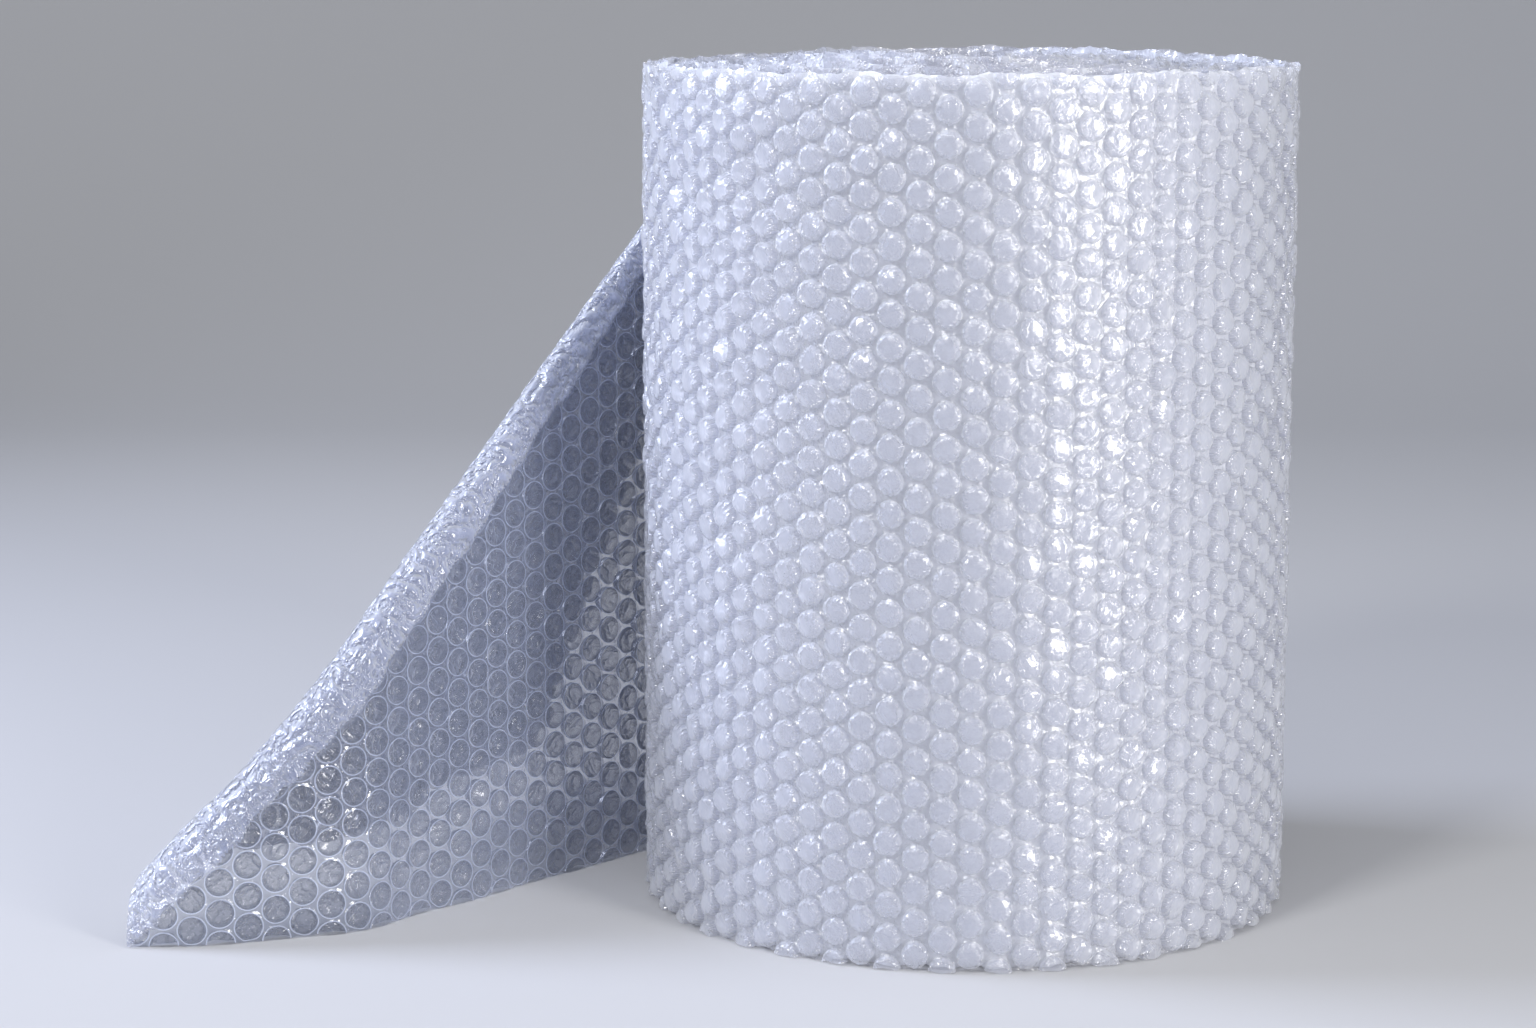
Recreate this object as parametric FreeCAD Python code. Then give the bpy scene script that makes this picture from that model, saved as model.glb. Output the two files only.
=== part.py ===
import FreeCAD, Part
import math
import os

# A roll of small-bubble wrap standing on its end. It is one web: a flat backing film with a film of
# round air bubbles on it, wound bubbles outward round an open centre. The loose end leaves the roll at
# the back left, stands on its long edge and has its free upper corner folded over behind it.
# Frame: the roll's axis is +Z, the floor is z = 0, +X is to the right of the photo and +Y goes back.
# Lengths are in millimetres, angles in degrees, counted the way the web is wound (anticlockwise from
# above).

os.makedirs("parts", exist_ok=True)
doc = FreeCAD.newDocument("bubble_wrap_roll")

SIZES = (
    ("roll_height", 300.0, "width of the web, so the height of the standing roll"),
    ("outer_radius", 120.0, "over the bubbles, where the web leaves the roll"),
    ("hole_radius", 25.0, "open centre the first turn is wound round"),
    ("web_thickness", 4.4, "films and bubbles together, so the step from turn to turn"),
    ("bubble_pitch", 11.1, "from bubble to bubble along the roll's axis"),
    ("bubble_height", 4.0, "from the backing film to the bubble's crown"),
    ("end_groove", 3.0, "depth between two turns at the ends of the roll"),
    ("leave_angle", 126.7, "where the web leaves the roll"),
    ("lift_angle", 12.0, "turn over which it lifts clear of the bubbles under it"),
    ("loose_length", 295.0, "web that has left the roll, along the floor"),
    ("straight_length", 171.0, "part of it that stands straight"),
    ("bend_radius", 85.0, "of the outward bend after the straight part"),
    ("bend_angle", 39.0, "turned through in that bend"),
    ("fold_foot", 25.0, "height of the fold line at the cut edge"),
    ("fold_radius", 12.0, "of the rounded fold at the cut edge; it tightens toward the roll"),
    ("tent_angle", 25.0, "between the standing web and the folded corner behind it"),
)
sheet = doc.addObject("Spreadsheet::Sheet", "sizes")
for row, (alias, value, note) in enumerate(SIZES, start=1):
    sheet.set(f"A{row}", alias)
    sheet.set(f"B{row}", str(value))
    sheet.set(f"C{row}", note)
    sheet.setAlias(f"B{row}", alias)
doc.recompute()

H = float(sheet.roll_height)
R = float(sheet.outer_radius)
HOLE = float(sheet.hole_radius)
THICK = float(sheet.web_thickness)
CROWN = float(sheet.bubble_height)
GROOVE = float(sheet.end_groove)
LEAVE = math.radians(sheet.leave_angle)
LIFT = math.radians(sheet.lift_angle)
LOOSE = float(sheet.loose_length)
STRAIGHT = float(sheet.straight_length)
BEND_R = float(sheet.bend_radius)
BEND = math.radians(sheet.bend_angle)
FOOT = float(sheet.fold_foot)
FOLD_R = float(sheet.fold_radius)
TENT = math.radians(sheet.tent_angle)

TURN = 2.0 * math.pi
FILM = 0.4                # thickness left where the bubbles are pressed flat
CLEAR = 0.4               # air kept between the loose end and the bubbles under it
RIM = THICK / 2           # a turn's middle line lies this far inside its crowns


class Skin:
    """Triangles over shared corner points: the skin of the solid, seen anticlockwise from outside."""

    def __init__(self):
        self.points = []
        self.numbers = {}
        self.triangles = []

    def point(self, xyz):
        key = tuple(round(value, 5) for value in xyz)
        if key not in self.numbers:
            self.numbers[key] = len(self.points)
            self.points.append(FreeCAD.Vector(*xyz))
        return self.numbers[key]

    def triangle(self, a, b, c):
        if len({a, b, c}) == 3:
            self.triangles.append((a, b, c))

    def strip(self, near, far, flip=False):
        """Band between two lines of (parameter, point number), stitched in step with the parameter."""
        i, j = 0, 0
        while i + 1 < len(near) or j + 1 < len(far):
            step_near = j + 1 >= len(far)
            if not step_near and i + 1 < len(near):
                step_near = near[i + 1][0] <= far[j + 1][0]
            if step_near:
                corners = near[i][1], near[i + 1][1], far[j][1]
                i += 1
            else:
                corners = near[i][1], far[j + 1][1], far[j][1]
                j += 1
            if flip:
                corners = corners[::-1]
            self.triangle(*corners)


def polar(radius, angle, z):
    return (radius * math.cos(angle), radius * math.sin(angle), z)


skin = Skin()

# Plan of the loose end's flat side: a short arc that lifts off the roll, a straight part, an outward
# bend and a straight end.
crotch_r = R - THICK - RIM
lifted_r = R - THICK + 3 * CLEAR
arc_length = LIFT * (crotch_r + lifted_r) / 2
bend_from = arc_length + STRAIGHT
bend_to = bend_from + BEND * BEND_R


def lifting_radius(turned):
    return crotch_r + (lifted_r - crotch_r) * min(1.0, turned / LIFT)


def plan(s):
    """Plan point and heading of the flat side, s = web that has left the roll."""
    turned = LIFT * min(s, arc_length) / arc_length
    x, y, _ = polar(lifting_radius(turned), LEAVE + turned, 0.0)
    heading = LEAVE + turned + math.pi / 2
    run = max(0.0, min(s, bend_from) - arc_length)
    x += run * math.cos(heading)
    y += run * math.sin(heading)
    if s > bend_from:
        bent = min(s - bend_from, bend_to - bend_from) / BEND_R
        out = heading - math.pi / 2
        x += BEND_R * (math.cos(out) - math.cos(out - bent))
        y += BEND_R * (math.sin(out) - math.sin(out - bent))
        heading -= bent
        run = max(0.0, s - bend_to)
        x += run * math.cos(heading)
        y += run * math.sin(heading)
    return x, y, heading


# The fold line runs from the web's upper edge, at the roll, down to the cut edge. The rounded fold is a
# narrow cone with its tip at the roll; beyond it the corner is flat again.
fold_run = math.hypot(LOOSE, H - FOOT)
fold_s = LOOSE / fold_run
fold_w = (H - FOOT) / fold_run
sweep = math.pi - TENT                      # turned through round the fold
slope = FOLD_R / fold_run                   # fold radius gained per length of fold
half_cone = slope * sweep / 2               # half the cone's width in the flat web, per length


def web_thickness(along, beyond):
    """Bubbles are pressed thinner where the folded corner comes close to the standing web."""
    past = max(0.0, abs(beyond) - half_cone * along)
    gap = slope * along * (1.0 + math.cos(TENT)) + past * math.sin(TENT)
    return min(THICK, max(FILM, 0.45 * gap))


def loose_point(s, w, lifted):
    """Point of the loose end from its place in the flat web, on the flat side or the bubble side."""
    along = s * fold_s + (H - w) * fold_w
    beyond = s * fold_w - (H - w) * fold_s
    lift = web_thickness(along, beyond) if lifted else 0.0
    half = half_cone * along
    if beyond <= -half:
        x, y, heading = plan(s)
        out = heading - math.pi / 2
        return (x + lift * math.cos(out), y + lift * math.sin(out), w)
    side = min(beyond, half)
    turned = (side + half) / (slope * along)
    past = beyond - side
    over = slope * along * math.sin(turned) + past * math.cos(turned) - lift * math.sin(turned)
    behind = slope * along * (1.0 - math.cos(turned)) + past * math.sin(turned) + lift * math.cos(turned)
    x, y, heading = plan(along * fold_s - half * fold_w)
    out = heading - math.pi / 2
    x += over * fold_w * math.cos(heading) + behind * math.cos(out)
    y += over * fold_w * math.sin(heading) + behind * math.sin(out)
    return (x, y, H - along * fold_w + (over - half) * fold_s)


# The wound web's outside: rows and columns of bubbles, each a low crown over the films between them.
# It grows by one web thickness over the last turn, up to outer_radius where the web leaves.
rows = max(8, round(H / sheet.bubble_pitch))
row_step = H / rows
columns = 2 * round(math.pi * (R - CROWN) / (row_step * math.cos(math.pi / 6)))
column_turn = TURN / columns


def wall_point(column, half_row):
    """Corner of the outside; crowns and the middles between them alternate along a column."""
    z = half_row * row_step / 2
    turned = column * column_turn
    if column == 0:
        radius = crotch_r
    elif column == columns:
        radius = crotch_r + web_thickness((H - z) * fold_w, (z - H) * fold_s)
    elif half_row in (0, 2 * rows):
        radius = R - THICK + THICK * turned / TURN - RIM
    elif (column + half_row) % 2:
        radius = R - THICK + THICK * turned / TURN
        if turned < LIFT:
            radius = min(radius, lifting_radius(turned) - CLEAR)
    else:
        radius = R - THICK + THICK * turned / TURN - CROWN
    return skin.point(polar(radius, LEAVE + turned, z))


for column in range(columns + 1):
    for half_row in range(1 - column % 2, 2 * rows + 1, 2):
        crown = wall_point(column, half_row)
        for side in (-1, 1):
            if not 0 <= column + side <= columns:
                continue
            across = wall_point(column + side, half_row)
            if half_row > 0:
                below = wall_point(column, half_row - 1)
                skin.triangle(*((crown, across, below) if side < 0 else (crown, below, across)))
            if half_row < 2 * rows:
                above = wall_point(column, half_row + 1)
                skin.triangle(*((crown, above, across) if side < 0 else (crown, across, above)))

# The ends: each turn's edge shows as a ridge with a groove before the next turn, both spirals. The last
# turn's ridge is the rim of the outside, and the innermost turn is flat round the hole.
groove_from = HOLE + RIM
spiral_end = TURN * (R - THICK - groove_from) / THICK


def spiral_radius(turned):
    return groove_from + THICK * turned / TURN


def spiral_steps(start, end):
    """Angles along the spiral, more to a turn where the turns are wide."""
    steps = [start]
    while steps[-1] < end:
        step = TURN / (8.0 + spiral_radius(steps[-1]) / 12.0)
        steps.append(end if end - steps[-1] < 1.5 * step else steps[-1] + step)
    return steps


def spiral_point(turned, outward, z):
    return skin.point(polar(spiral_radius(turned) + outward, LEAVE + turned - spiral_end, z))


groove_steps = spiral_steps(0.0, TURN) + spiral_steps(TURN, spiral_end)[1:]
ridge_steps = spiral_steps(0.0, spiral_end - TURN)
hole_rings = []
for top in (False, True):
    level = H if top else 0.0
    inward = -GROOVE if top else GROOVE
    rim = [(spiral_end - TURN + column * column_turn, wall_point(column, 2 * rows if top else 0))
           for column in range(columns + 1)]
    ridge = [(turned, spiral_point(turned, RIM, level)) for turned in ridge_steps[:-1]] + rim
    groove = [(turned, spiral_point(turned, 0.0, level + (inward if turned > TURN else 0.0)))
              for turned in groove_steps[:-1]] + [(spiral_end, rim[0][1])]
    skin.strip(ridge, groove, flip=not top)
    next_groove = [(turned - TURN, number) for turned, number in groove if turned >= TURN]
    inner_ridge = [pair for pair in ridge if pair[0] <= spiral_end - TURN]
    skin.strip(next_groove, inner_ridge, flip=not top)
    hole_rings.append([number for turned, number in groove if turned <= TURN] + [ridge[0][1]])

# The loose end: columns across the web, on each side of it. A column stands up the panel, rounds the
# fold and runs out over the folded corner.
lift_steps = [arc_length * k / 3 for k in (1, 2, 3)]
bend_steps = [bend_from + (bend_to - bend_from) * k / 6 for k in range(7)]
stations = lift_steps + [60.0, 95.0, 135.0, 170.0] + bend_steps + [(bend_to + LOOSE) / 2, LOOSE]
cone_steps = 6
corner_steps = 3


def loose_column(s, lifted):
    """Line of (step, point number) from the floor up the panel, round the fold and down the corner."""
    spread = [-1.0 + 2.0 * k / cone_steps for k in range(cone_steps + 1)]
    heights = [0.0]
    for share in spread:
        angle = math.atan2(fold_w, fold_s) - math.atan(share * half_cone)
        heights.append(H - s * math.tan(angle))
    for k in range(1, corner_steps + 1):
        heights.append(heights[cone_steps + 1] + (H - heights[cone_steps + 1]) * k / corner_steps)
    return [(k, skin.point(loose_point(s, w, lifted))) for k, w in enumerate(heights)]


def stitch(first, second, outside):
    if outside:
        first, second = second, first
    skin.strip(first, second)


sides = []
for lifted in (False, True):
    column = columns if lifted else 0
    root = [wall_point(column, half_row) for half_row in range(2 * rows + 1)]
    lines = [loose_column(s, lifted) for s in stations]
    panel = [(k / (2 * rows), number) for k, number in enumerate(root)]
    stitch(panel, lines[0][:2], lifted)
    stitch([(0, root[-1])], lines[0][1:], lifted)
    for line, beside in zip(lines, lines[1:]):
        stitch(line, beside, lifted)
    sides.append([[(0, root[0])]] + lines)
    sides[-1].append([(0, root[-1])])

flat_side, bubble_side = sides
for edge, flip in ((0, True), (-1, False)):
    start = 0 if edge == 0 else -1
    flat_line = [(0, flat_side[start][0][1])]
    bubble_line = [(0, bubble_side[start][0][1])]
    for k in range(1, len(stations) + 1):
        flat_line.append((k, flat_side[k][edge][1]))
        bubble_line.append((k, bubble_side[k][edge][1]))
    skin.strip(bubble_line, flat_line, flip)
skin.strip(flat_side[len(stations)], bubble_side[len(stations)])

# The skin's faces share their edges. The flat ring round the hole at each end takes the skin's own
# edges outside and the wall's circle inside.
skin_shape = Part.Shape()
skin_shape.makeShapeFromMesh((skin.points, skin.triangles), 0.001, False)
hole_wall = next(face for face in Part.makeCylinder(HOLE, H).Faces
                 if isinstance(face.Surface, Part.Cylinder))
near_hole = [edge for edge in skin_shape.Edges
             if math.hypot(*edge.firstVertex().Point[:2]) < groove_from + THICK + 1.0]


def place_key(point):
    return tuple(round(value, 3) for value in point)


faces = list(skin_shape.Faces)
for ring in hole_rings:
    corners = [skin.points[number] for number in ring]
    wanted = {frozenset((place_key(first), place_key(second)))
              for first, second in zip(corners, corners[1:] + corners[:1])}
    outline = [edge for edge in near_hole
               if frozenset(place_key(vertex.Point) for vertex in edge.Vertexes) in wanted]
    circle = next(edge for edge in hole_wall.Edges if isinstance(edge.Curve, Part.Circle)
                  and abs(edge.Curve.Center.z - corners[0].z) < 0.001)
    outline = Part.Wire(Part.__sortEdges__(outline))
    ways = [Part.Face([outline, Part.Wire([way])]) for way in (circle, circle.reversed())]
    end_ring = min(ways, key=lambda face: face.Area)
    upward = end_ring.normalAt(0, 0).z > 0
    faces.append(end_ring if upward == (corners[0].z > 0) else end_ring.reversed())
faces.append(hole_wall.reversed())

roll = doc.addObject("Part::Feature", "bubble_wrap_roll")
roll.Shape = Part.Solid(Part.Shell(faces))
doc.recompute()

for item in doc.Objects:
    bad = [word for word in item.State if word in ("Invalid", "Error")]
    assert not bad, f"{item.Name}: {bad}"
shape = roll.Shape
assert not shape.isNull() and shape.isValid(), "the roll's solid"
print("bubble wrap roll:", rows, "rows,", columns, "columns,", round(shape.Volume), "mm3")
shape.exportStep("parts/bubble_wrap_roll.step")
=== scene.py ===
# %% [markdown]
# A roll of small-bubble wrap stands on its end, with its loose end beside it. The real thing is one
# web of thin polyethylene: a flat backing film with a film of air bubbles welded to it, wound about
# twenty times round an open centre. The CAD part holds its size and form. This script makes what the
# eye sees: thin clear film, two thousand round bubbles, the turns' edges and the milky depth that many
# layers of clear film give.

# %% Load the frame
import math

import bmesh
import bpy
import numpy as np
from mathutils import Matrix, Vector


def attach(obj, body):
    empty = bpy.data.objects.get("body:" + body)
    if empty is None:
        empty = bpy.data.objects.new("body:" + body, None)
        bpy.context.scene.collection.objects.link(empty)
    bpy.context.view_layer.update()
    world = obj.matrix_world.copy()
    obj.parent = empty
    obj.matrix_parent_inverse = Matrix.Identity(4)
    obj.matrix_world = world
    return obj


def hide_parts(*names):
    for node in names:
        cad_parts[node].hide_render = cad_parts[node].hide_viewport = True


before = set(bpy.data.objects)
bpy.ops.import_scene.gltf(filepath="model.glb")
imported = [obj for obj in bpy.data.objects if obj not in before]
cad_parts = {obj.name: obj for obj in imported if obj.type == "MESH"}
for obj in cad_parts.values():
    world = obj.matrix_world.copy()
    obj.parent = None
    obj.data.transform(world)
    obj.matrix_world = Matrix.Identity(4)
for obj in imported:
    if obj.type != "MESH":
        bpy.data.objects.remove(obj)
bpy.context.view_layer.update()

# %% [markdown]
# Every film here is modelled flat first, the way it leaves the machine: s runs along the web, w across
# it and h up from the backing film through the bubbles. It is then carried to its place by two rules,
# one for the wound turns and one for the loose end. That keeps the bubbles in one unbroken pattern
# from the roll into the loose end, and their size true however the film bends.

# %% Sizes of the web and the roll
MM = 0.001
TURN = 2.0 * math.pi
ROLL_HEIGHT = 300.0 * MM
OUTER_RADIUS = 120.0 * MM
HOLE_RADIUS = 25.0 * MM
WEB_THICKNESS = 4.4 * MM
BUBBLE_HEIGHT = 4.0 * MM
BUBBLE_RADIUS = 5.05 * MM
ROWS = 27
COLUMNS = 76
LEAVE = math.radians(126.7)
FLAT_RADIUS = OUTER_RADIUS - WEB_THICKNESS
ROW_STEP = ROLL_HEIGHT / ROWS
TURN_LENGTH = TURN * (OUTER_RADIUS - WEB_THICKNESS / 2)
COLUMN_STEP = TURN_LENGTH / COLUMNS
rng = np.random.default_rng(27)
print("bubble spacing", round(ROW_STEP / MM, 2), "mm along the axis,", round(COLUMN_STEP / MM, 2), "mm round it")

# %% Sizes of the loose end
LOOSE_LENGTH = 295.0 * MM
LIFT = math.radians(12.0)
LIFT_RISE = 1.2 * MM
STRAIGHT_LENGTH = 171.0 * MM
BEND_RADIUS = 85.0 * MM
BEND = math.radians(39.0)
FOLD_FOOT = 25.0 * MM
FOLD_RADIUS = 12.0 * MM
TENT = math.radians(25.0)
LIFTED_RADIUS = FLAT_RADIUS + LIFT_RISE
fold_run = math.hypot(LOOSE_LENGTH, ROLL_HEIGHT - FOLD_FOOT)
fold_s = LOOSE_LENGTH / fold_run
fold_w = (ROLL_HEIGHT - FOLD_FOOT) / fold_run
fold_slope = FOLD_RADIUS / fold_run
half_cone = fold_slope * (math.pi - TENT) / 2
lift_length = LIFT * (FLAT_RADIUS + LIFTED_RADIUS) / 2
bend_from = lift_length + STRAIGHT_LENGTH
bend_length = BEND * BEND_RADIUS
print("fold line", round(fold_run / MM), "mm long")

# %% The slitting knife's wander
KNIFE_WANDER = 0.5 * MM
TOP_FADE = 6.0 * MM
FLOOR_FADE = 5.0 * MM


def cut_wave(s):
    """How far the cut edges stray from straight, for web coordinate s."""
    slow = np.sin(s / (9.0 * MM)) + 0.7 * np.sin(s / (3.7 * MM) + 1.0)
    return KNIFE_WANDER * (slow + 0.6 * np.sin(s / (1.3 * MM) + 2.0))


def ragged(s, w):
    """Moves the web's two edges by the knife's wander; the lower edge stays above the floor."""
    near_top = np.clip(1.0 - (ROLL_HEIGHT - w) / TOP_FADE, 0.0, 1.0)
    near_floor = np.clip(1.0 - w / FLOOR_FADE, 0.0, 1.0)
    return w + cut_wave(s) * near_top + np.abs(cut_wave(s + 0.4)) * near_floor


# %% [markdown]
# The outer turn starts right under the place where the loose end leaves the roll. Its first bubbles
# are squashed there, a little under a web's thickness, and stand up as the loose end lifts away.

# %% Where the wound web lies
SQUASH = 0.6 * MM


def wound_place(s, w, h):
    """s is negative: the web's length still to go before it leaves the roll."""
    turned = s / (OUTER_RADIUS - WEB_THICKNESS / 2)
    lifted = np.clip((turned + TURN) / LIFT, 0.0, 1.0)
    room = WEB_THICKNESS - SQUASH + LIFT_RISE * lifted
    height = np.where(turned < LIFT - TURN, np.minimum(h, room), h)
    radius = FLAT_RADIUS + WEB_THICKNESS * turned / TURN + height
    angle = LEAVE + turned
    return np.stack([radius * np.cos(angle), radius * np.sin(angle), ragged(s, w)], axis=1)


# %% [markdown]
# The loose end lifts off the roll, runs straight, bends towards the front and runs straight again. Its
# upper corner is folded over backwards round a cone that is narrow at the roll and wide at the free end.
# Beside the fold the web is pressed flat into a hem, which swells and whose inner line wanders.

# %% The loose end's path and its fold
HEM_START_WIDTH = 7.5 * MM
HEM_GROWTH = 10.5 * MM
HEM_PAST_CONE = 1.5 * MM


def floor_plan(s):
    """Point and heading of the flat film along the floor, s from where it leaves the roll."""
    turned = LIFT * np.minimum(s, lift_length) / lift_length
    radius = FLAT_RADIUS + LIFT_RISE * turned / LIFT
    heading = LEAVE + turned + math.pi / 2
    run = np.clip(s - lift_length, 0.0, STRAIGHT_LENGTH)
    x = radius * np.cos(LEAVE + turned) + run * np.cos(heading)
    y = radius * np.sin(LEAVE + turned) + run * np.sin(heading)
    bent = np.clip((s - bend_from) / BEND_RADIUS, 0.0, BEND)
    out = heading - math.pi / 2
    x = x + BEND_RADIUS * (np.cos(out) - np.cos(out - bent))
    y = y + BEND_RADIUS * (np.sin(out) - np.sin(out - bent))
    heading = heading - bent
    run = np.maximum(s - bend_from - bend_length, 0.0)
    return x + run * np.cos(heading), y + run * np.sin(heading), heading


def fold_zone(s, w):
    """Places along the fold line and past it, half the rounded fold and the width of its flattened hem."""
    along = s * fold_s + (ROLL_HEIGHT - w) * fold_w
    beyond = s * fold_w - (ROLL_HEIGHT - w) * fold_s
    half = half_cone * along
    hem = HEM_START_WIDTH + HEM_GROWTH * along / fold_run
    hem = hem + 1.3 * MM * np.sin(along / (7.7 * MM)) * np.sin(along / (21.0 * MM))
    hem = hem + 0.5 * MM * np.sin(along / (2.3 * MM))
    return along, beyond, half, np.maximum(hem, half + HEM_PAST_CONE)


# %% Swelling and sway of the loose end
HEM_SWELL = 2.0 * MM
HEM_STEP = 1.3 * MM
HEM_FADE = 60.0 * MM
SWAY = 1.6 * MM
SWAY_WAVE = 9.0 * MM
SWAY_HEIGHT = 60.0 * MM
SWAY_FADE = 150.0 * MM
LEAST_BUBBLE = 0.08


def hem_swell(along, beyond, half, hem):
    """How far the hem stands out to the front: full at its inner line, where it drops back to the web."""
    share = np.clip((-beyond - half) / (hem - half), 0.0, 1.0)
    kept = 1.0 - np.clip((-beyond - hem) / HEM_STEP, 0.0, 1.0)
    swell = HEM_SWELL * (0.3 + 0.7 * share) * kept * np.clip(along / HEM_FADE, 0.0, 1.0)
    return swell * np.clip(1.0 - (beyond + half) / np.maximum(half, 1e-6), 0.0, 1.0)


def lower_sway(s, w):
    """The standing edge's small waves near the floor, away from the roll."""
    wave = SWAY * np.sin(s / SWAY_WAVE) * np.clip(1.0 - w / SWAY_HEIGHT, 0.0, 1.0)
    return wave * np.clip(s / SWAY_FADE - 0.5, 0.0, 1.0)


# %% Where the loose end lies
def loose_place(s, w, h):
    """Stands the web on the floor and folds its upper corner over along a narrow cone."""
    w = ragged(s, w)
    along, beyond, half, hem = fold_zone(s, w)
    past_cone = np.maximum(np.abs(beyond) - half, 0.0)
    gap = fold_slope * along * (1 + math.cos(TENT)) + past_cone * math.sin(TENT)
    kept_height = np.clip(0.45 * gap / WEB_THICKNESS, LEAST_BUBBLE, 1.0)
    lift = h * kept_height - hem_swell(along, beyond, half, hem) + lower_sway(s, w)
    x, y, heading = floor_plan(s)
    out = heading - math.pi / 2
    panel = np.stack([x + lift * np.cos(out), y + lift * np.sin(out), w], axis=1)
    side = np.clip(beyond, -half, half)
    turned = (side + half) / np.maximum(fold_slope * along, 1e-6)
    past = beyond - side
    over = fold_slope * along * np.sin(turned) + past * np.cos(turned) - lift * np.sin(turned)
    behind = fold_slope * along * (1 - np.cos(turned)) + past * np.sin(turned) + lift * np.cos(turned)
    x, y, heading = floor_plan(along * fold_s - half * fold_w)
    out = heading - math.pi / 2
    x = x + over * fold_w * np.cos(heading) + behind * np.cos(out)
    y = y + over * fold_w * np.sin(heading) + behind * np.sin(out)
    z = ROLL_HEIGHT - along * fold_w + (over - half) * fold_s
    corner = np.stack([x, y, z], axis=1)
    return np.where((beyond > -half)[:, None], corner, panel)


def place(s, w, h):
    """The web's place in the room: wound before it leaves the roll, loose after."""
    return np.where((s > 0.0)[:, None], loose_place(np.maximum(s, 1e-6), w, h), wound_place(s, w, h))


# %% [markdown]
# A flat piece becomes a finished one in three moves. Its flat coordinates are kept as a UV map in
# metres, so that every pattern in the film follows the web. Its points are carried to their place, none
# of them below the floor. Then the mesh is shaded smooth.

# %% Helpers that finish a piece
def mesh_from(work, name):
    mesh = bpy.data.meshes.new(name)
    work.to_mesh(mesh)
    work.free()
    return mesh


def flat_points(mesh):
    points = np.empty(len(mesh.vertices) * 3)
    mesh.vertices.foreach_get("co", points)
    return points.reshape(-1, 3)


def finish_piece(mesh, name, points, flat, material, zone=None):
    """Moves the mesh's points to their place and keeps the flat ones as the UV map "web". With zone, the
    number of each face's material, material is a tuple of them."""
    corners = np.empty(len(mesh.loops), dtype=int)
    mesh.loops.foreach_get("vertex_index", corners)
    layer = mesh.uv_layers.new(name="web")
    layer.data.foreach_set("uv", flat[corners, :2].astype(float).ravel())
    points[:, 2] = np.maximum(points[:, 2], 0.0)
    mesh.vertices.foreach_set("co", points.ravel())
    mesh.polygons.foreach_set("use_smooth", [True] * len(mesh.polygons))
    for each in material if zone is not None else [material]:
        mesh.materials.append(each)
    if zone is not None:
        mesh.polygons.foreach_set("material_index", zone)
    mesh.update()
    piece = bpy.data.objects.new(name, mesh)
    bpy.context.scene.collection.objects.link(piece)
    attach(piece, "root")
    print(name, len(mesh.vertices), "points,", len(mesh.polygons), "faces")
    return piece


# %% [markdown]
# Clear film is almost invisible where it is looked at squarely and turns white where it is seen edge on
# or creased. A Principled shader with its alpha led by Layer Weight gives that, and a crumpled bump
# gives the small hard glints. The wound mass under the outer turn is the same film, but so many layers
# of it scatter the light that it reads as milk glass: there a plain milky surface does the work.

# %% Colour and node helpers
def film_colour(code):
    """sRGB hex to the linear values that shaders work in."""
    values = [int(code[k:k + 2], 16) / 255 for k in (1, 3, 5)]
    linear = [v / 12.92 if v <= 0.04045 else ((v + 0.055) / 1.055) ** 2.4 for v in values]
    return (*linear, 1.0)


def add_node(tree, kind, settings=None, **links):
    """Adds a node, sets its properties and inputs, and links other nodes' sockets into it."""
    node = tree.nodes.new(kind)
    for name, value in (settings or {}).items():
        if name in node.inputs:
            node.inputs[name].default_value = value
        else:
            setattr(node, name, value)
    for name, socket in links.items():
        tree.links.new(socket, node.inputs[name.replace("_", " ")])
    return node


def math_node(tree, operation, first, second=None):
    """A Math node on sockets or plain numbers."""
    node = add_node(tree, "ShaderNodeMath", {"operation": operation})
    for socket, value in zip(node.inputs, (first, second)):
        if hasattr(value, "default_value"):
            tree.links.new(value, socket)
        elif value is not None:
            socket.default_value = value
    return node.outputs[0]


def vector_node(tree, operation, socket, second=None, third=None):
    """A Vector Math node on one socket and plain vectors."""
    node = add_node(tree, "ShaderNodeVectorMath", {"operation": operation})
    tree.links.new(socket, node.inputs[0])
    for place_at, value in ((1, second), (2, third)):
        if value is not None:
            node.inputs[place_at].default_value = value
    return node.outputs["Value" if operation == "LENGTH" else "Vector"]


def ramp(tree, value, from_low, from_high, to_low=0.0, to_high=1.0):
    """Maps one range of a value onto another, held at its ends."""
    settings = {"From Min": from_low, "From Max": from_high, "To Min": to_low, "To Max": to_high}
    return add_node(tree, "ShaderNodeMapRange", settings, Value=value).outputs[0]


def bubble_distance(tree, web):
    """Distance in the flat web from the nearest bubble's centre: two rectangular lattices, the nearer one."""
    across, up = 2 * COLUMN_STEP, ROW_STEP
    lengths = []
    for shift in ((0.5, 0.0, 0.0), (0.0, 0.5, 0.0)):
        cells = vector_node(tree, "MULTIPLY_ADD", web, (1 / across, 1 / up, 0.0), shift)
        part = vector_node(tree, "FRACTION", cells)
        offset = vector_node(tree, "MULTIPLY_ADD", part, (across, up, 0.0), (-across / 2, -up / 2, 0.0))
        lengths.append(vector_node(tree, "LENGTH", offset))
    return math_node(tree, "MINIMUM", *lengths)


# %% [markdown]
# The creases are a ridged noise in the web's own millimetres. They are weaker on a bubble's crown, which
# the air keeps taut, and strong on its side. Between the bubbles the two films are welded and pucker.
# The welded land is made more opaque than clear film, so more of the film's painted shade shows there, and the
# ring round each bubble is painted whiter: a painted highlight for the light its rim catches.

# %% Relief of a film
CREASES = {"noise_dimensions": "2D", "noise_type": "RIDGED_MULTIFRACTAL", "Detail": 2.4, "Roughness": 0.5,
           "Lacunarity": 2.3, "Offset": 0.9, "Gain": 1.6}
CROWN_EDGE = (2.4 * MM, 4.1 * MM)
PUCKER_EDGE = (5.2 * MM, 6.4 * MM)
PUCKER = 0.8


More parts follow.
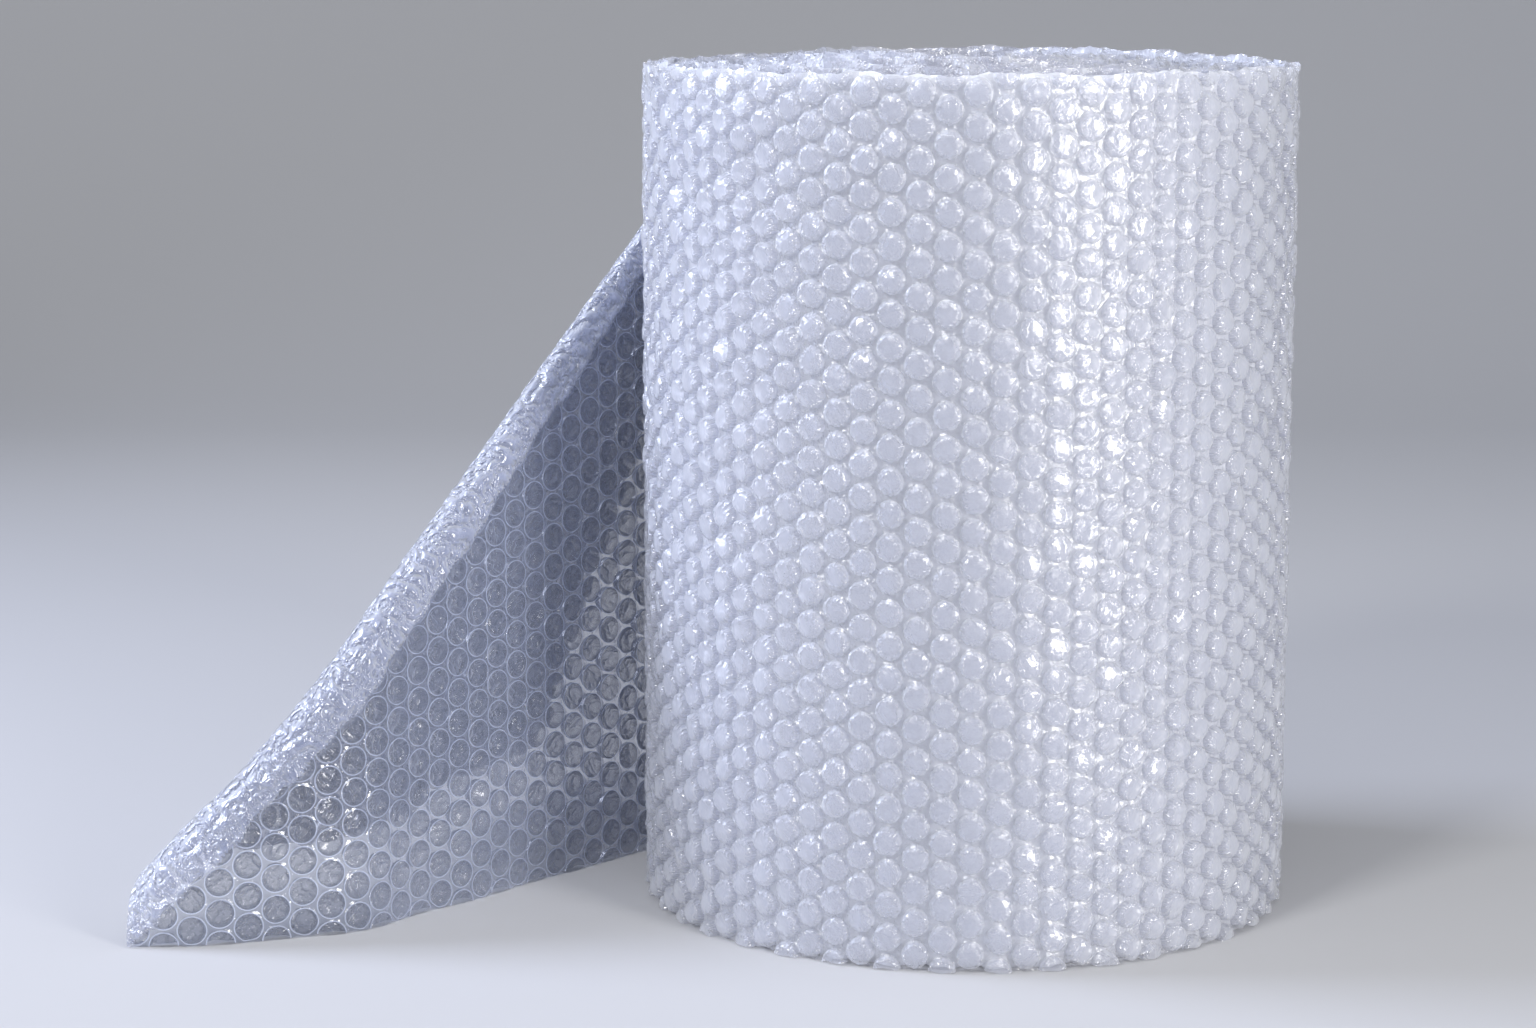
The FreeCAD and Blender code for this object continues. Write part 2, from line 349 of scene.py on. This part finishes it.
def film_bump(tree, web, distance, crease, depth, crown, welded):
    """Bump of a film: crease is the spacing of its creases, depth their height, crown their share on crowns."""
    height = add_node(tree, "ShaderNodeTexNoise", {**CREASES, "Scale": 1 / crease}, Vector=web).outputs[0]
    if crown < 1.0:
        height = math_node(tree, "MULTIPLY", height, ramp(tree, distance, *CROWN_EDGE, crown, 1.0))
    if welded:
        height = math_node(tree, "ADD", height, ramp(tree, distance, *PUCKER_EDGE, 0.0, PUCKER))
    return add_node(tree, "ShaderNodeBump", {"Strength": 1.0, "Distance": depth}, Height=height).outputs[0]


# %% Clearness of a film
EDGE_ON = 0.6
RING_RADIUS = 5.0 * MM
RING_EDGE = (0.1 * MM, 0.45 * MM)
LAND_EDGE = (4.9 * MM, 5.2 * MM)
# The ring's whitening is a painted highlight for the light caught by each bubble's rim.
RING_PAINTED_HIGHLIGHT = 0.85


def welds_and_ring_highlight(tree, distance, alpha, facing, clear, welds):
    """Adds the welded land between the bubbles, and the ring round each, to the alpha, and the ring's painted
    highlight to the whitening.
    """
    land_alpha, ring_alpha = welds
    off_ring = math_node(tree, "ABSOLUTE", math_node(tree, "SUBTRACT", distance, RING_RADIUS))
    ring = ramp(tree, off_ring, *RING_EDGE, 1.0, 0.0)
    alpha = math_node(tree, "MAXIMUM", alpha, ramp(tree, distance, *LAND_EDGE, clear, land_alpha))
    alpha = math_node(tree, "MAXIMUM", alpha, math_node(tree, "MULTIPLY", ring, ring_alpha))
    return alpha, math_node(tree, "MAXIMUM", facing, math_node(tree, "MULTIPLY", ring, RING_PAINTED_HIGHLIGHT))


def film_material(name, colours, alpha, gloss, crease, depth, welds=None, crown=1.0):
    """Polyethylene film. Its two colours and alphas are those seen squarely and edge on; alpha None is
    opaque. gloss is the roughness of the film and of its skin. welds gives the alpha of the welded land and
    of the ring round each bubble. crown is how much of the creases is left on the bubbles' taut crowns."""
    material = bpy.data.materials.new(name)
    material.use_nodes = True
    tree = material.node_tree
    film = tree.nodes["Principled BSDF"]
    square, grazing = (film_colour(code) for code in colours)
    for socket, value in (("Base Color", square), ("Roughness", gloss[0]), ("IOR", 1.51),
                          ("Specular IOR Level", 0.9), ("Coat Weight", 1.0), ("Coat IOR", 2.2),
                          ("Coat Roughness", gloss[1])):
        film.inputs[socket].default_value = value
    web = add_node(tree, "ShaderNodeUVMap", {"uv_map": "web"}).outputs["UV"]
    distance = bubble_distance(tree, web) if welds or crown < 1.0 else None
    bump = film_bump(tree, web, distance, crease, depth, crown, bool(welds))
    tree.links.new(bump, film.inputs["Normal"])
    tree.links.new(bump, film.inputs["Coat Normal"])
    if alpha is None:
        return material
    facing = add_node(tree, "ShaderNodeLayerWeight", {"Blend": 0.5}, Normal=bump).outputs["Facing"]
    seen = ramp(tree, facing, 0.0, EDGE_ON, *alpha)
    if welds:
        seen, facing = welds_and_ring_highlight(tree, distance, seen, facing, alpha[0], welds)
    tree.links.new(seen, film.inputs["Alpha"])
    tint = add_node(tree, "ShaderNodeMix", {"data_type": "RGBA"}, Factor=facing)
    colour_a, colour_b, mixed = tint.inputs[6], tint.inputs[7], tint.outputs[2]
    colour_a.default_value = square
    colour_b.default_value = grazing
    tree.links.new(mixed, film.inputs["Base Color"])
    return material


# %% The films
# Low-density polyethylene, blown and embossed: clear, soft-edged gloss, a little milky.
bubble_film = film_material("polyethylene bubble film on the roll", ("#C4C8DA", "#F6F8FD"), (0.36, 0.66),
                            gloss=(0.26, 0.10), crease=2.6 * MM, depth=0.46 * MM, crown=0.08)
backing_film = film_material("polyethylene backing film on the roll", ("#DCDEEA", "#F0F2F8"), (0.22, 0.70),
                             gloss=(0.25, 0.10), crease=4.2 * MM, depth=0.20 * MM)
# Low-density polyethylene, many layers: milky, and so opaque.
milky_turns = film_material("many layers of film, milky", ("#E4E7F1", "#E4E7F1"), None,
                            gloss=(0.40, 0.16), crease=4.0 * MM, depth=0.15 * MM)
# Low-density polyethylene, a single layer: clear, but painted a dark slate where seen squarely: painted shade
# that stands for a dark background seen through the film.
loose_film = film_material("polyethylene backing film, single layer", ("#39445F", "#CCD5EE"), (0.13, 0.80),
                           gloss=(0.12, 0.06), crease=7.0 * MM, depth=0.24 * MM, welds=(0.48, 0.72))
loose_bubbles = film_material("polyethylene bubble film, single layer", ("#39445F", "#E4EAFA"), (0.36, 1.0),
                              gloss=(0.10, 0.06), crease=3.6 * MM, depth=0.45 * MM)
# The folded corner carries the same painted shade of dark slate, a little lighter.
flap_film = film_material("polyethylene film of the folded corner", ("#505C7E", "#B9C4E2"), (0.14, 0.70),
                          gloss=(0.14, 0.06), crease=7.0 * MM, depth=0.30 * MM, welds=(0.28, 0.5))
# Low-density polyethylene, pressed flat and crumpled: white along its creases. Where seen squarely it is a
# blue-grey, the same painted shade as the single layer's, lighter.
fold_film = film_material("polyethylene film, crumpled at the fold", ("#A0AACD", "#F2F5FD"), (0.42, 0.95),
                          gloss=(0.14, 0.06), crease=6.0 * MM, depth=1.5 * MM)
print(len(bpy.data.materials), "materials")

# %% [markdown]
# The bubble is a low drum with a rounded crown, drawn out of the hot film by suction. It is made once:
# a circle, four insets that climb, and a poked crown. Two of them, half a pitch apart, are the unit of
# the pattern, and two arrays lay the field, which is then cut to the web's edges, through whatever
# bubbles lie there, as the slitting knife does.

# %% One bubble, repeated
BUBBLE_SIDES = 12
BUBBLE_FOOT = 0.1 * MM
BUBBLE_PROFILE = ((0.15, 2.0), (0.50, 1.25), (0.85, 0.45), (1.4, 0.1))
CROWN_TIP = 0.05 * MM
EDGE_TRIM = 0.2 * MM


def one_bubble(work, s, w):
    """A drum in flat coordinates. The profile holds how far in and how far up each ring goes, in mm."""
    circle = bmesh.ops.create_circle(work, cap_ends=True, segments=BUBBLE_SIDES, radius=BUBBLE_RADIUS,
                                     matrix=Matrix.Translation((s, w, BUBBLE_FOOT)))
    top = [next(iter({face for vert in circle["verts"] for face in vert.link_faces}))]
    for inset, climb in BUBBLE_PROFILE:
        bmesh.ops.inset_region(work, faces=top, thickness=inset * MM, use_boundary=True, use_even_offset=True)
        bmesh.ops.translate(work, verts=top[0].verts, vec=(0, 0, climb * MM))
    bmesh.ops.poke(work, faces=top, offset=CROWN_TIP)


def bubble_sheet(first, count):
    """Flat field of bubbles from column number first, as a mesh in flat coordinates."""
    unit = bmesh.new()
    for column in (first, first + 1):
        one_bubble(unit, column * COLUMN_STEP, ROW_STEP * (0.5 if column % 2 == 0 else 0.0))
    holder = bpy.data.objects.new("bubble_unit", mesh_from(unit, "bubble_unit"))
    bpy.context.scene.collection.objects.link(holder)
    for number, step in ((ROWS + 1, (0, ROW_STEP, 0)), ((count + 1) // 2, (2 * COLUMN_STEP, 0, 0))):
        array = holder.modifiers.new("repeat", "ARRAY")
        array.count = number
        array.use_relative_offset = False
        array.use_constant_offset = True
        array.constant_offset_displace = step
    evaluated = holder.evaluated_get(bpy.context.evaluated_depsgraph_get())
    work = bmesh.new()
    work.from_mesh(evaluated.to_mesh())
    bpy.data.objects.remove(holder)
    return work


def trim(work, low_s, high_s):
    """Cuts the field along the web's two edges and at two places along it."""
    for point, normal in (((low_s, 0, 0), (-1, 0, 0)), ((high_s, 0, 0), (1, 0, 0)),
                          ((0, EDGE_TRIM, 0), (0, -1, 0)), ((0, ROLL_HEIGHT - EDGE_TRIM, 0), (0, 1, 0))):
        geometry = work.verts[:] + work.edges[:] + work.faces[:]
        bmesh.ops.bisect_plane(work, geom=geometry, dist=1e-7, plane_co=point, plane_no=normal, clear_outer=True)


# %% [markdown]
# No two bubbles are alike: each has lost a little air, leans, and has been dented by its neighbours
# in the roll. The slack, lean and dent of each bubble come from one seeded table, looked up by the
# bubble's column and row.

# %% Each bubble's own shape
TABLE = rng.uniform(-1.0, 1.0, size=(256, 64, 6))
SAG = 0.35
LEAN = 0.12
CROWN_SHIFT = 0.25
WRINKLE = 0.35 * MM


def bubble_at(s, w):
    """Number of the nearest bubble (column, row) and the offset from its centre."""
    choices = []
    base = np.floor(s / COLUMN_STEP).astype(int)
    for column in (base, base + 1):
        shift = np.where(column % 2 == 0, 0.5, 0.0)
        row = np.round(w / ROW_STEP - shift).astype(int)
        choices.append((column, row, s - column * COLUMN_STEP, w - (row + shift) * ROW_STEP))
    here, ahead = choices
    nearer = ahead[2] ** 2 + ahead[3] ** 2 < here[2] ** 2 + here[3] ** 2
    return [np.where(nearer, new, old) for new, old in zip(ahead, here)]


def own_shape(s, w, h, slack):
    """Bubble height after slack, lean and dent; s and w move a little with the crown."""
    column, row, u, v = bubble_at(s, w)
    fate = TABLE[column % 256, row % 64]
    u, v = u / BUBBLE_RADIUS, v / BUBBLE_RADIUS
    share = h / BUBBLE_HEIGHT
    lean = fate[:, 0] * u + fate[:, 1] * v
    turn = 3.0 * fate[:, 2]
    dent = np.maximum(0.0, np.cos(turn) * u + np.sin(turn) * v + 0.25 * fate[:, 3])
    height = h * (1 - slack * SAG * (1 + fate[:, 4]) + LEAN * slack * lean - slack * dent)
    moved = CROWN_SHIFT * BUBBLE_RADIUS * slack * share
    wrinkle = WRINKLE * slack * share * rng.uniform(-1, 1, size=len(s))
    return s + moved * fate[:, 5], w + moved * fate[:, 3], np.clip(height + wrinkle, 0.0, BUBBLE_HEIGHT)


def loose_zones(mesh):
    """Zone of each face of the flat web: 0 standing web, 1 crumpled fold, 2 folded corner."""
    centres = np.empty(len(mesh.polygons) * 3)
    mesh.polygons.foreach_get("center", centres)
    s, w = centres[0::3], centres[1::3]
    _, beyond, half, hem = fold_zone(s, w)
    return np.where(beyond < -hem, 0, np.where(beyond < half, 1, 2))


def bubble_piece(name, first, count, low_s, high_s, slack, material):
    """Bubbles of the web from low_s to high_s, in their place."""
    work = bubble_sheet(first, count)
    trim(work, low_s, high_s)
    mesh = mesh_from(work, name)
    flat = flat_points(mesh)
    zone = loose_zones(mesh) if low_s >= 0.0 else None
    s, w, h = own_shape(flat[:, 0], flat[:, 1], flat[:, 2], slack)
    return finish_piece(mesh, name, place(s, w, h), flat, material, zone)


# %% Bubbles of the outer turn and of the loose end
ROLL_SLACK = 0.36
LOOSE_SLACK = 0.5
LOOSE_COLUMNS = 31
half_columns = COLUMNS // 2
half_way = (-half_columns - 0.02) * COLUMN_STEP
turn_start = 0.3 * COLUMN_STEP - TURN_LENGTH
bubble_piece("outer_turn_bubbles_first_half", -COLUMNS, half_columns + 1, turn_start, half_way,
             ROLL_SLACK, bubble_film)
front_bubbles = bubble_piece("outer_turn_bubbles_second_half", -half_columns - 1, half_columns + 2,
                             half_way, 0.0, ROLL_SLACK, bubble_film)
bubble_piece("loose_end_bubbles", 0, LOOSE_COLUMNS, 0.0, LOOSE_LENGTH - 0.5 * MM, LOOSE_SLACK,
             (loose_bubbles, fold_film, loose_bubbles))
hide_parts("bubble_wrap_roll")

# %% [markdown]
# Between and under the bubbles lies the backing film. It is a fine grid, because a welded film is
# never flat: it cups a little under each bubble. The turn below shows its own bubbles through it.

# %% Films as fine grids
CUPPING = -0.3 * MM
SECOND_TURN_RELIEF = 2.4 * MM


def film_sheet(low_s, high_s, columns, rows, low_w=0.0, high_w=ROLL_HEIGHT):
    """Flat grid over a stretch of the web, in flat coordinates."""
    work = bmesh.new()
    middle = Matrix.Translation(((low_s + high_s) / 2, (low_w + high_w) / 2, 0))
    span = Matrix.Diagonal((high_s - low_s, high_w - low_w, 1, 1))
    bmesh.ops.create_grid(work, x_segments=columns, y_segments=rows, size=0.5, matrix=middle @ span)
    return work


def bubble_relief(s, w, height, profile=0.55):
    """Height of a bubble over the backing film; the smaller profile is, the steeper its sides."""
    _, _, u, v = bubble_at(s, w)
    inside = np.clip(1.0 - (u * u + v * v) / BUBBLE_RADIUS ** 2, 0.0, 1.0)
    return height * inside ** profile


def film_piece(name, work, relief, material, profile=0.55):
    """A film with cups or bubbles in its grid, in its place."""
    mesh = mesh_from(work, name)
    flat = flat_points(mesh)
    zone = loose_zones(mesh) if isinstance(material, tuple) else None
    s, w = flat[:, 0], flat[:, 1]
    return finish_piece(mesh, name, place(s, w, bubble_relief(s, w, relief, profile)), flat, material, zone)


film_piece("outer_turn_film", film_sheet(turn_start, 0.0, 228, 81), CUPPING, backing_film)
film_piece("second_turn", film_sheet(-2 * TURN_LENGTH, -TURN_LENGTH, 380, 170), SECOND_TURN_RELIEF,
           milky_turns, profile=0.35)
film_piece("loose_end_film", film_sheet(1e-5, LOOSE_LENGTH, 268, 272), CUPPING,
           (loose_film, fold_film, flap_film))

# %% [markdown]
# Seen from above or below, the roll is a spiral of cut edges. Each turn's edge is the same web, cut
# through its bubbles, so the outline bulges where the knife met a bubble and lies flat between. Only
# the last few millimetres can be seen into; below that the light is scattered and the turns look solid.

# %% The turns' edges
EDGE_DEPTH = 9.0 * MM
EDGE_RELIEF = 3.6 * MM
INNER_BULGE = 3.0 * MM
BULGE_FROM = 85.0 * MM
BULGE_TO = 55.0 * MM
first_radius = HOLE_RADIUS + 0.3 * MM
turns = (FLAT_RADIUS - 2 * WEB_THICKNESS - first_radius) / WEB_THICKNESS
spiral_turn = turns * TURN
growth = WEB_THICKNESS / TURN
spiral_length = first_radius * spiral_turn + growth * spiral_turn ** 2 / 2
print("wound length", round(spiral_length + 2 * TURN_LENGTH, 2), "m in", round(turns + 2, 1), "turns")


def edge_place(s, w, h):
    """s is the true length from the innermost end of the web. The turns aren't wound quite level, and
    the inner ones have crept out a little at both ends."""
    turned = (np.sqrt(first_radius ** 2 + 2 * growth * np.maximum(s, 0.0)) - first_radius) / growth
    radius = first_radius + growth * turned + h
    angle = LEAVE + turned - spiral_turn
    level = 0.9 * MM * np.sin(0.61 * turned) + 0.7 * MM * np.sin(1.37 * turned + 1.0)
    level = level + INNER_BULGE * np.clip((BULGE_FROM - radius) / (BULGE_FROM - BULGE_TO), 0.0, 1.0)
    z = ragged(s, w) + np.where(w > ROLL_HEIGHT / 2, level, np.abs(level))
    return np.stack([radius * np.cos(angle), radius * np.sin(angle), z], axis=1)


def edge_piece(name, low_w, high_w, spacing, rows, relief, material):
    """One film of all the inner turns, at one end of the roll."""
    work = film_sheet(0.0, spiral_length, int(spiral_length / spacing), rows, low_w, high_w)
    mesh = mesh_from(work, name)
    flat = flat_points(mesh)
    h = bubble_relief(flat[:, 0], flat[:, 1], relief)
    return finish_piece(mesh, name, edge_place(flat[:, 0], flat[:, 1], h), flat, material)


for end, low_w, high_w in (("top", ROLL_HEIGHT - EDGE_DEPTH, ROLL_HEIGHT), ("bottom", 0.0, EDGE_DEPTH)):
    edge_piece(f"turns_{end}_bubbles", low_w, high_w, 1.5 * MM, 4, EDGE_RELIEF, bubble_film)
    edge_piece(f"turns_{end}_film", low_w, high_w, 4.0 * MM, 1, 0.0, backing_film)

# %% The wound mass and the wall of the open centre
MASS_OVERLAP = 1.0 * MM
WALL_CLEARANCE = 0.1 * MM
MASS_STEPS = 96
PATTERN_RADIUS = 70.0 * MM


def wound_mass():
    """A thick milky ring between the open centre and the second turn, a little short of both ends."""
    low, high = EDGE_DEPTH - MASS_OVERLAP, ROLL_HEIGHT - EDGE_DEPTH + MASS_OVERLAP
    inner, outer = HOLE_RADIUS + WALL_CLEARANCE, FLAT_RADIUS - 2 * WEB_THICKNESS + MASS_OVERLAP
    work = bmesh.new()
    corners = [work.verts.new((r, 0, z)) for r, z in ((inner, 0), (inner, low), (outer, low), (outer, high),
                                                       (inner, high), (inner, ROLL_HEIGHT))]
    edges = [work.edges.new(pair) for pair in zip(corners, corners[1:])]
    edges.append(work.edges.new((corners[4], corners[1])))
    bmesh.ops.spin(work, geom=corners + edges, axis=(0, 0, 1), cent=(0, 0, 0), steps=MASS_STEPS, angle=TURN,
                   use_merge=True)
    bmesh.ops.remove_doubles(work, verts=work.verts, dist=1e-6)
    return work


mass_mesh = mesh_from(wound_mass(), "inner_turns")
mass_points = flat_points(mass_mesh)
mass_x, mass_y, mass_z = mass_points.T
mass_flat = np.stack([np.arctan2(mass_y, mass_x) * PATTERN_RADIUS, mass_z + np.hypot(mass_x, mass_y)], axis=1)
finish_piece(mass_mesh, "inner_turns", mass_points, mass_flat, milky_turns)

# %% [markdown]
# The stage is a pale sweep, as in a product studio, with four soft lights: a tall strip at the front
# right that runs down the roll as one bright line, a large cool panel at the left, a small panel at the
# front left and a weak fill above. The strip and the large panel have a honeycomb, so that they light
# the roll and not the floor under them.

# %% Floor and backdrop
SWEEP_WIDTH = 12.0
SWEEP_DEPTH = 6.0
SWEEP_HEIGHT = 4.0
SWEEP_RADIUS = 1.2
SWEEP_MIDDLE = -0.6


def stage_sweep():
    """A floor that curves up into a backdrop, in matt paper."""
    work = bmesh.new()
    span = Matrix.Translation((0, SWEEP_MIDDLE, 0)) @ Matrix.Diagonal((SWEEP_WIDTH, SWEEP_DEPTH, 1, 1))
    bmesh.ops.create_grid(work, x_segments=1, y_segments=1, size=0.5, matrix=span)
    back = [edge for edge in work.edges if all(vert.co.y > 0.0 for vert in edge.verts)]
    wall = bmesh.ops.extrude_edge_only(work, edges=back)
    raised = [item for item in wall["geom"] if isinstance(item, bmesh.types.BMVert)]
    bmesh.ops.translate(work, verts=raised, vec=(0, 0, SWEEP_HEIGHT))
    bmesh.ops.bevel(work, geom=back, offset=SWEEP_RADIUS, segments=16, affect="EDGES", profile=0.5, material=-1)
    floor = bpy.data.objects.new("pale_sweep", mesh_from(work, "pale_sweep"))
    floor.data.polygons.foreach_set("use_smooth", [True] * len(floor.data.polygons))
    bpy.context.scene.collection.objects.link(floor)
    # Matt backdrop paper.
    paper = bpy.data.materials.new("pale paper sweep")
    paper.use_nodes = True
    matt = paper.node_tree.nodes["Principled BSDF"]
    matt.inputs["Base Color"].default_value = film_colour("#CBCBCD")
    matt.inputs["Roughness"].default_value = 0.9
    matt.inputs["Specular IOR Level"].default_value = 0.1
    floor.data.materials.append(paper)


stage_sweep()
print("sweep", SWEEP_WIDTH, "m wide")


# %% Lights
def soft_panel(name, place_at, aim, size, power, colour, grid=180.0):
    """A softbox. grid is the angle in degrees that its honeycomb lets out."""
    light = bpy.data.lights.new(name, "AREA")
    light.shape = "RECTANGLE"
    light.size, light.size_y = size
    light.energy = power
    light.spread = math.radians(grid)
    light.color = film_colour(colour)[:3]
    lamp = bpy.data.objects.new(name, light)
    lamp.location = place_at
    lamp.rotation_euler = (Vector(aim) - Vector(place_at)).to_track_quat("-Z", "Y").to_euler()
    bpy.context.scene.collection.objects.link(lamp)


soft_panel("strip_front_right", (0.93, -1.19, 0.56), (0, 0, 0.56), (0.36, 1.0), 6.4, "#FFFDFA", grid=110.0)
soft_panel("panel_left", (-1.5, 0.21, 1.0), (0, 0, 0.30), (0.75, 0.95), 10.6, "#DCE5FF", grid=110.0)
soft_panel("panel_front_left", (-1.2, -1.6, 1.35), (0, 0, 0.15), (0.5, 0.5), 20.5, "#FFFFFF")
soft_panel("fill_above", (0.0, -0.6, 2.0), (0, 0, 0.1), (1.6, 1.6), 5.0, "#FFFFFF")
world = bpy.data.worlds.new("studio")
world.use_nodes = True
world.node_tree.nodes["Background"].inputs["Color"].default_value = film_colour("#DFE4EE")
world.node_tree.nodes["Background"].inputs["Strength"].default_value = 0.45
bpy.context.scene.world = world
print(len(bpy.data.lights), "lights")

# %% Camera
# A long lens from a little above the roll's upper edge, as the outline of the roll calls for.
CAMERA_PLACE = (-0.0704, -1.2390, 0.3444)
CAMERA_TILT = 9.48
camera = bpy.data.objects.new("camera", bpy.data.cameras.new("camera"))
camera.data.lens = 81.2
camera.data.sensor_width = 36.0
camera.location = CAMERA_PLACE
camera.rotation_euler = (math.radians(90.0 - CAMERA_TILT), 0.0, 0.0)
bpy.context.scene.collection.objects.link(camera)
bpy.context.scene.camera = camera
bpy.context.scene.view_settings.view_transform = "Standard"

# %% Hand over
bpy.context.view_layer.update()
